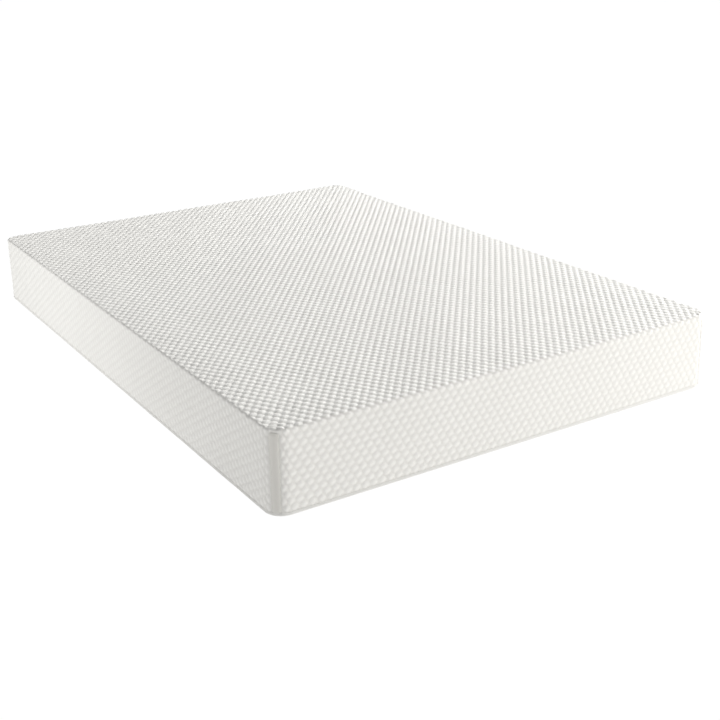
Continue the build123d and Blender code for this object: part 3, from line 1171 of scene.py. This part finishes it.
@dataclass
class Zip:
    """Zip along the foot end: tapes, coil, stops, slider and pull tab."""

    mattress: Mattress
    coil_pitch: float = 1.6 * MM
    coil_gap: float = 1.2 * MM
    coil_wire: float = 0.62 * MM
    body: str = "zip_slider"
    tab_body: str = "zip_pull_tab"

    def tape(self, name: str) -> bpy.types.Object:
        """Woven tape, very slightly wavy."""
        low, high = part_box(name)
        shape = lattice(412, 6)
        column, row = numbers(shape)
        x = low.x + column / 412 * (high.x - low.x)
        z = low.z + row / 6 * (high.z - low.z)
        y = high.y - 0.15 * MM + 0.1 * MM * np.sin(x * 60) * np.sin(row / 6 * math.pi)
        move(shape, np.stack([x, y, z], 1))
        piece = as_piece(shape, f"{name}_cloth")
        map_cloth(piece.data, flat_spots(piece.data))
        face_out(piece, Vector((0, 1, 0)))
        thicken(piece, 0.7 * MM)
        return piece

    def coil(self, name: str) -> bpy.types.Object:
        """One half of the coil: a loop of wire at each pitch."""
        low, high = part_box(name)
        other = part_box("zip_coil_upper" if name.endswith("lower") else "zip_coil_lower")
        middle = (min(low.z, other[0].z) + max(high.z, other[1].z)) / 2
        side = 1 if low.z > middle - 1 * MM and name.endswith("upper") else -1
        inner = middle + side * self.coil_gap / 2
        outer = high.z if side > 0 else low.z
        length, centre = abs(outer - inner), (outer + inner) / 2
        depth = (high.y + low.y) / 2
        shift = self.coil_pitch / 2 if side > 0 else 0.0
        size = Matrix.Diagonal((self.coil_wire, (high.y - low.y) / 2, length / 2, 1))
        start = low.x + self.coil_pitch * 0.25 + shift
        shape = bmesh.new()
        bmesh.ops.create_uvsphere(shape, u_segments=8, v_segments=5, radius=1.0,
                                  matrix=Matrix.Translation((start, depth, centre)) @ size)
        repeat(shape, int((high.x - low.x) / self.coil_pitch), (self.coil_pitch, 0, 0))
        return as_piece(shape, f"{name}_loops")

    def stop(self, name: str) -> bpy.types.Object:
        """Crimped metal stop over the coil's end."""
        low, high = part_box(name)
        shape = rounded_box(low, high, 0.45 * MM, 3)
        return as_piece(shape, f"{name}_crimp")

    def slider(self) -> bpy.types.Object:
        """Slider with two plates, a neck, flanges and an arched bail."""
        low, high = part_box("zip_slider")
        coil_low, coil_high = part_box("zip_coil_upper")
        tape_low, tape_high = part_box("zip_tape_upper")
        middle = Vector((low + high) / 2)
        face = coil_high.y + 0.3 * MM
        plate = 1.2 * MM
        shape = bmesh.new()
        half_x, half_z = (high.x - low.x) / 2, (high.z - low.z) / 2
        for near, far in ((face, face + plate), (low.y, low.y + plate)):
            self._plate(shape, middle.x, middle.z, half_x, half_z, near, far)
        for side in (-1, 1):
            edge = middle.z + side * half_z
            inner = edge - side * 0.6 * MM
            add_box(shape, (middle.x - half_x * 0.62, face - 1.9 * MM, min(edge, inner)),
                    (middle.x + half_x * 0.62, face + 0.3 * MM, max(edge, inner)), 0.2 * MM)
        add_box(shape, (high.x - 4 * MM, low.y + 0.2 * MM, middle.z - 0.5 * MM),
                (high.x - 0.4 * MM, face + 0.4 * MM, middle.z + 0.5 * MM), 0.15 * MM)
        self._bail(shape, middle, face + plate, high.y)
        return as_piece(shape, "slider_cast")

    @staticmethod
    def _plate(shape: bmesh.types.BMesh, x: float, z: float, half_x: float, half_z: float,
               near: float, far: float) -> None:
        """Adds one plate, narrower at the closing end, with rounded edges."""
        made = bmesh.ops.create_circle(shape, cap_ends=True, segments=28, radius=1.0)["verts"]
        for vertex in made:
            turn = math.atan2(vertex.co.y, vertex.co.x)
            along = math.copysign(abs(math.cos(turn)) ** 0.55, math.cos(turn))
            across = math.copysign(abs(math.sin(turn)) ** 0.55, math.sin(turn))
            taper = 1 - 0.16 * (1 - along) / 2
            vertex.co = (x + half_x * along, near, z + half_z * across * taper)
        face = made[0].link_faces[0]
        lifted = bmesh.ops.extrude_face_region(shape, geom=[face])["geom"]
        top = [item for item in lifted if isinstance(item, bmesh.types.BMVert)]
        bmesh.ops.translate(shape, verts=top, vec=(0, far - near, 0))
        rims = [edge for item in (made, top) for edge in {e for v in item for e in v.link_edges}
                if abs(edge.verts[0].co.y - edge.verts[1].co.y) < 1e-7]
        bmesh.ops.bevel(shape, geom=list(set(rims)), offset=0.3 * MM, segments=2, profile=0.5,
                        affect="EDGES", material=-1)

    @staticmethod
    def _bail(shape: bmesh.types.BMesh, middle: Vector, face: float, top: float) -> None:
        """Adds the arch that holds the pull tab's pin."""
        radius, width, bar = 3.2 * MM, 1.0 * MM, 0.5 * MM
        ring = bmesh.ops.create_circle(shape, cap_ends=False, segments=10, radius=1.0)["verts"]
        for vertex in ring:
            vertex.co = (middle.x + radius + bar * vertex.co.x, face - 0.3 * MM,
                         middle.z + width * vertex.co.y)
        edges = list({edge for vertex in ring for edge in vertex.link_edges})
        rise = (top - face + 0.3 * MM - bar) / radius
        made = bmesh.ops.spin(shape, geom=ring + edges, angle=math.pi, steps=14, use_merge=False,
                              axis=(0, 0, 1), cent=(middle.x, face - 0.3 * MM, middle.z))
        arch = {vertex for face_ in shape.faces for vertex in face_.verts
                if vertex in set(ring)} | set(ring)
        first = [item for item in made["geom_last"] if isinstance(item, bmesh.types.BMVert)]
        for vertex in spun_from(shape, ring, first):
            vertex.co.y = face - 0.3 * MM + (vertex.co.y - face + 0.3 * MM) * rise
        bmesh.ops.holes_fill(shape, edges=[edge for edge in shape.edges if edge.is_boundary
                                           and edge.verts[0] in arch | set(first)], sides=12)

    def tab(self) -> bpy.types.Object:
        """Pull tab: a pierced plate, two arms and the pin."""
        low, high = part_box("zip_pull_tab")
        joint = next(j for j in frame["joints"] if j["name"] == "pull_tab_swing")
        pin_x, pin_y, pin_z = joint["pos_m"]
        half = (high.y - low.y) / 2
        shape = bmesh.new()
        end_x, fork_x = low.x, pin_x - 5.5 * MM
        hole_x = end_x + 5.2 * MM
        outer = bmesh.ops.create_circle(shape, cap_ends=False, segments=32, radius=1.0)["verts"]
        inner = bmesh.ops.create_circle(shape, cap_ends=False, segments=32, radius=1.0)["verts"]
        middle_x, half_x, half_z = (end_x + fork_x) / 2, (fork_x - end_x) / 2, 3.5 * MM
        for vertex in outer:
            turn = math.atan2(vertex.co.y, vertex.co.x)
            along = math.copysign(abs(math.cos(turn)) ** 0.4, math.cos(turn))
            across = math.copysign(abs(math.sin(turn)) ** 0.4, math.sin(turn))
            waist = 1 - 0.14 * (1 + along) / 2
            vertex.co = (middle_x + half_x * along, pin_y - half, pin_z + half_z * across * waist)
        for vertex in inner:
            turn = math.atan2(vertex.co.y, vertex.co.x)
            vertex.co = (hole_x + 1.6 * MM * math.cos(turn), pin_y - half,
                         pin_z + 1.6 * MM * math.sin(turn))
        edges = list({edge for vertex in outer + inner for edge in vertex.link_edges})
        faces = bmesh.ops.bridge_loops(shape, edges=edges)["faces"]
        lifted = bmesh.ops.extrude_face_region(shape, geom=faces)["geom"]
        top = [item for item in lifted if isinstance(item, bmesh.types.BMVert)]
        bmesh.ops.translate(shape, verts=top, vec=(0, 2 * half, 0))
        rims = [edge for edge in shape.edges
                if abs(edge.verts[0].co.y - edge.verts[1].co.y) < 1e-7
                and edge.calc_face_angle(0.0) > 1.0]
        bmesh.ops.bevel(shape, geom=rims, offset=0.25 * MM, segments=2, profile=0.5,
                        affect="EDGES", material=-1)
        for side in (-1, 1):
            edge_a, edge_b = pin_z + side * 1.4 * MM, pin_z + side * 3.0 * MM
            add_box(shape, (fork_x - 0.8 * MM, pin_y - half, min(edge_a, edge_b)),
                    (pin_x + half, pin_y + half, max(edge_a, edge_b)), 0.35 * MM)
        pin = Matrix.Translation((pin_x, pin_y, pin_z))
        bmesh.ops.create_cone(shape, cap_ends=True, segments=16, radius1=0.6 * MM,
                              radius2=0.6 * MM, depth=5.6 * MM, matrix=pin)
        return as_piece(shape, "pull_tab_cast")


def spun_from(shape: bmesh.types.BMesh, first: list, last: list) -> set:
    """Every vertex that is joined to the first or last ring of a spun piece."""
    found, waiting = set(), [*first, *last]
    while waiting:
        vertex = waiting.pop()
        if vertex not in found:
            found.add(vertex)
            waiting += [edge.other_vert(vertex) for edge in vertex.link_edges]
    return found


def add_box(shape: bmesh.types.BMesh, low: Iterable[float], high: Iterable[float],
            round_off: float, segments: int = 2) -> None:
    """Adds a box with rounded edges between two corners."""
    low, high = Vector(low), Vector(high)
    place = Matrix.Translation((low + high) / 2) @ Matrix.Diagonal((*(high - low), 1))
    made = bmesh.ops.create_cube(shape, size=1.0, matrix=place)["verts"]
    edges = list({edge for vertex in made for edge in vertex.link_edges})
    bmesh.ops.bevel(shape, geom=edges, offset=round_off, segments=segments, profile=0.5,
                    affect="EDGES", material=-1)


def rounded_box(low: Vector, high: Vector, round_off: float, segments: int) -> bmesh.types.BMesh:
    """A new shape that holds one box with rounded edges."""
    shape = bmesh.new()
    add_box(shape, low, high, round_off, segments)
    return shape


# ---------------------------------------------------------------- label

@dataclass
class CareLabel:
    """Blank label sewn on along its top edge, with its lower edge standing off a little."""

    columns: int = 16
    rows: int = 24
    lift: float = 4.0 * MM
    thickness: float = 0.35 * MM

    def build(self) -> bpy.types.Object:
        """Builds the label."""
        low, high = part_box("care_label")
        shape = lattice(self.columns, self.rows)
        column, row = numbers(shape)
        across, up = column / self.columns, row / self.rows
        x = low.x + across * (high.x - low.x)
        z = low.z + up * (high.z - low.z)
        curl = (1 - up) ** 2 * (0.6 + 0.4 * np.cos((across - 0.5) * math.pi * 2))
        y = high.y + 1.2 * MM + self.lift * curl + 0.3 * MM * np.sin(across * 9 + up * 4)
        move(shape, np.stack([x, y, z], 1))
        piece = as_piece(shape, "care_label_cloth")
        map_cloth(piece.data, flat_spots(piece.data))
        face_out(piece, Vector((0, 1, 0)))
        thicken(piece, self.thickness)
        return piece


# ---------------------------------------------------------------- room

@dataclass
class Lamp:
    """A soft rectangular light."""

    name: str
    place: tuple
    aim: tuple
    size: tuple
    power: float
    colour: tuple = (1.0, 1.0, 1.0)

    def build(self) -> None:
        """Adds the light to the scene."""
        data = bpy.data.lights.new(self.name, "AREA")
        data.shape = "RECTANGLE"
        data.size, data.size_y = self.size
        data.energy = self.power
        data.color = self.colour
        lamp = bpy.data.objects.new(self.name, data)
        lamp.location = self.place
        towards = Vector(self.aim) - Vector(self.place)
        lamp.rotation_euler = towards.to_track_quat("-Z", "Y").to_euler()
        bpy.context.scene.collection.objects.link(lamp)


@dataclass
class Studio:
    """Floor, light and camera."""

    azimuth: float = 32.012
    down: float = 17.93
    roll: float = -1.118
    lens: float = 59.68
    shift: float = -0.1
    eye: tuple = (-1.8059, -3.156, 1.3333)
    sky: float = 0.34
    floor_size: float = 400.0
    floor_glow: float = 1.0
    flag_place: tuple = (0.85, 0.01, 0.134)
    flag_size: tuple = (0.268, 1.97)

    def build(self) -> None:
        """Sets up the whole room."""
        self._camera()
        self._sky()
        self._floor()
        self._flag()
        for lamp in (
            Lamp("key", (7.4, 0.2, 2.8), (0.0, 0.0, 0.2), (1.3, 1.3), 960.0),
            Lamp("front", (0.1, -3.4, 3.2), (0.0, -0.5, 0.1), (1.0, 1.2), 13.0),
            Lamp("right_wall", (1.9, -2.6, 0.45), (0.5, -1.0, 0.1), (1.4, 0.7), 24.0,
                 (1.0, 0.985, 0.955)),
            Lamp("right_far", (4.5, -5.5, 1.0), (0.0, -1.0, 0.1), (2.0, 1.5), 53.0,
                 (1.0, 0.99, 0.965)),
            Lamp("left_wall", (-2.3, 0.55, 0.4), (-0.7, 0.55, 0.1), (0.4, 0.7), 12.0),
        ):
            lamp.build()
        bpy.context.scene.view_settings.view_transform = "Standard"

    def _camera(self) -> None:
        """Places the camera by its turn, its downward tilt and its roll."""
        turn, down, roll = (math.radians(a) for a in (self.azimuth, self.down, self.roll))
        ahead = Vector((math.sin(turn) * math.cos(down), math.cos(turn) * math.cos(down),
                        -math.sin(down)))
        level = ahead.cross(Vector((0, 0, 1))).normalized()
        upright = level.cross(ahead)
        right = level * math.cos(roll) + upright * math.sin(roll)
        up = upright * math.cos(roll) - level * math.sin(roll)
        data = bpy.data.cameras.new("camera")
        data.lens, data.shift_y = self.lens, self.shift
        data.clip_end = 500.0
        camera = bpy.data.objects.new("camera", data)
        camera.matrix_world = (Matrix.Translation(self.eye)
                               @ Matrix((right, up, -ahead)).transposed().to_4x4())
        bpy.context.scene.collection.objects.link(camera)
        bpy.context.scene.camera = camera

    def _sky(self) -> None:
        """Plain white light from all round."""
        world = bpy.data.worlds.new("sky")
        world.use_nodes = True
        tree = world.node_tree
        back = tree.nodes["Background"]
        back.inputs["Color"].default_value = (1, 1, 1, 1)
        seen = tree.nodes.new("ShaderNodeMapRange")
        seen.inputs["To Min"].default_value = self.sky
        tree.links.new(tree.nodes.new("ShaderNodeLightPath").outputs["Is Camera Ray"],
                       seen.inputs["Value"])
        tree.links.new(seen.outputs["Result"], back.inputs["Strength"])
        bpy.context.scene.world = world

    def _floor(self) -> None:
        """Wide white floor that glows, so that it stays white under the object."""
        shape = bmesh.new()
        bmesh.ops.create_grid(shape, x_segments=1, y_segments=1, size=self.floor_size / 2)
        floor = as_piece(shape, "floor", smooth=False)
        graph = Graph("floor_white")
        floor.data.materials.append(graph.surface(
            (0.02, 0.02, 0.02), 1.0, Emission_Color=(1, 1, 1, 1), Emission_Strength=self.floor_glow,
            Specular_IOR_Level=0.0))
        floor.location.z = -0.5 * MM

    def _flag(self) -> None:
        """Unseen board that keeps the low key light off the side that faces it."""
        shape = bmesh.new()
        bmesh.ops.create_grid(shape, x_segments=1, y_segments=1, size=0.5)
        upright = Matrix.Rotation(math.pi / 2, 4, "Y") @ Matrix.Diagonal((*self.flag_size, 1, 1))
        bmesh.ops.transform(shape, verts=shape.verts[:],
                            matrix=Matrix.Translation(self.flag_place) @ upright)
        flag = as_piece(shape, "flag", smooth=False)
        flag.data.materials.append(Graph("flag_black").surface((0.02, 0.02, 0.02), 1.0))
        flag.visible_camera = flag.visible_diffuse = flag.visible_glossy = False


# ---------------------------------------------------------------- assembly

def dress_core() -> None:
    """Gives the inner nodes of the frame their own finishes."""
    memory = Foam("memory_foam", (0.90, 0.88, 0.78), (0.74, 0.71, 0.58), 0.9 * MM).make()
    comfort = Foam("comfort_foam", (0.66, 0.78, 0.86), (0.48, 0.62, 0.72), 1.3 * MM).make()
    support = Foam("support_foam", (0.90, 0.90, 0.88), (0.72, 0.72, 0.70), 1.6 * MM).make()
    glue = Plastic("dried_glue", (0.86, 0.84, 0.74), (0.78, 0.76, 0.66), 0.35, 120.0).make()
    sock = Foam("sock_knit", (0.93, 0.92, 0.89), (0.84, 0.83, 0.80), 0.7 * MM).make()
    finishes = {"memory_foam_layer": memory, "comfort_foam_layer": comfort,
                "support_foam_base": support, "upper_glue_film": glue, "lower_glue_film": glue,
                "fire_sock": sock}
    for name, material in finishes.items():
        node = frame["nodes"][name]
        node.data.materials.clear()
        node.data.materials.append(material)
        LOG.info("%s dressed", name)


def main() -> None:
    """Builds the mattress and the room round it."""
    logging.basicConfig(level=logging.INFO, format="%(name)s: %(message)s")
    random.seed(7)
    mattress = Mattress()
    body = mattress.body
    Studio().build()
    rib = RibKnit("strip_knit", (0.77, 0.755, 0.71), (0.70, 0.687, 0.645)).make()
    # The hem knit's rib pattern is its own; its overall tone is set darker than the cover's crest
    # colour as painted shade, matching the shade that the cover's cells cast on themselves.
    hem = RibKnit("hem_knit", (0.87, 0.86, 0.83), (0.81, 0.80, 0.77)).make()
    cover = hand_over(KnitCover(mattress).build(), CellKnit().make(), body,
                      ["cover_top"])
    for corner in ("front_left", "front_right", "back_left", "back_right"):
        node = f"corner_strip_{corner}"
        hand_over(CornerStrip(mattress, node).build(), rib, body, [node])
    hand_over(HemBand(mattress).build(), hem, body, ["hem_band"])
    underside = Underside(mattress)
    cloth = Woven("base_cloth", (0.80, 0.79, 0.77), (0.68, 0.67, 0.65), 1.1 * MM, 0.12 * MM)
    hand_over(underside.build(), cloth.make(), body, ["base_panel"])
    grip = Plastic("grip_rubber", (0.62, 0.62, 0.61), (0.55, 0.55, 0.54), 0.5)
    hand_over(underside.build_dots(), grip.make(), body)
    stitching = Stitching()
    thread = Plastic("thread", (0.86, 0.85, 0.82), (0.78, 0.77, 0.74), 0.6, 2500.0).make()
    hand_over(stitching.hem(mattress), thread, body)
    strip = CornerStrip(mattress, "corner_strip_front_left")
    hand_over(stitching.corners(mattress, strip), thread, body)
    fit_zip(Zip(mattress), body)
    label = Woven("label_satin", (0.92, 0.92, 0.90), (0.84, 0.84, 0.82), 0.5 * MM, 0.04 * MM,
                  roughness=0.5)
    hand_over(CareLabel().build(), label.make(), body, ["care_label"])
    dress_core()


def fit_zip(zip_: Zip, body: str) -> None:
    """Builds and dresses the pieces of the zip."""
    tape = Woven("zip_tape", (0.86, 0.85, 0.83), (0.74, 0.73, 0.71), 0.8 * MM, 0.1 * MM,
                 slant=2.4 * MM).make()
    nylon = Plastic("coil_nylon", (0.88, 0.88, 0.86), (0.80, 0.80, 0.78), 0.32).make()
    nickel = SatinNickel().make()
    for side in ("lower", "upper"):
        hand_over(zip_.tape(f"zip_tape_{side}"), tape, body, [f"zip_tape_{side}"])
        hand_over(zip_.coil(f"zip_coil_{side}"), nylon, body, [f"zip_coil_{side}"])
    for end in ("open", "closed"):
        hand_over(zip_.stop(f"zip_stop_{end}"), nickel, body, [f"zip_stop_{end}"])
    hand_over(zip_.slider(), nickel, zip_.body, ["zip_slider"])
    hand_over(zip_.tab(), nickel, zip_.tab_body, ["zip_pull_tab"])


if __name__ == "__main__":
    main()
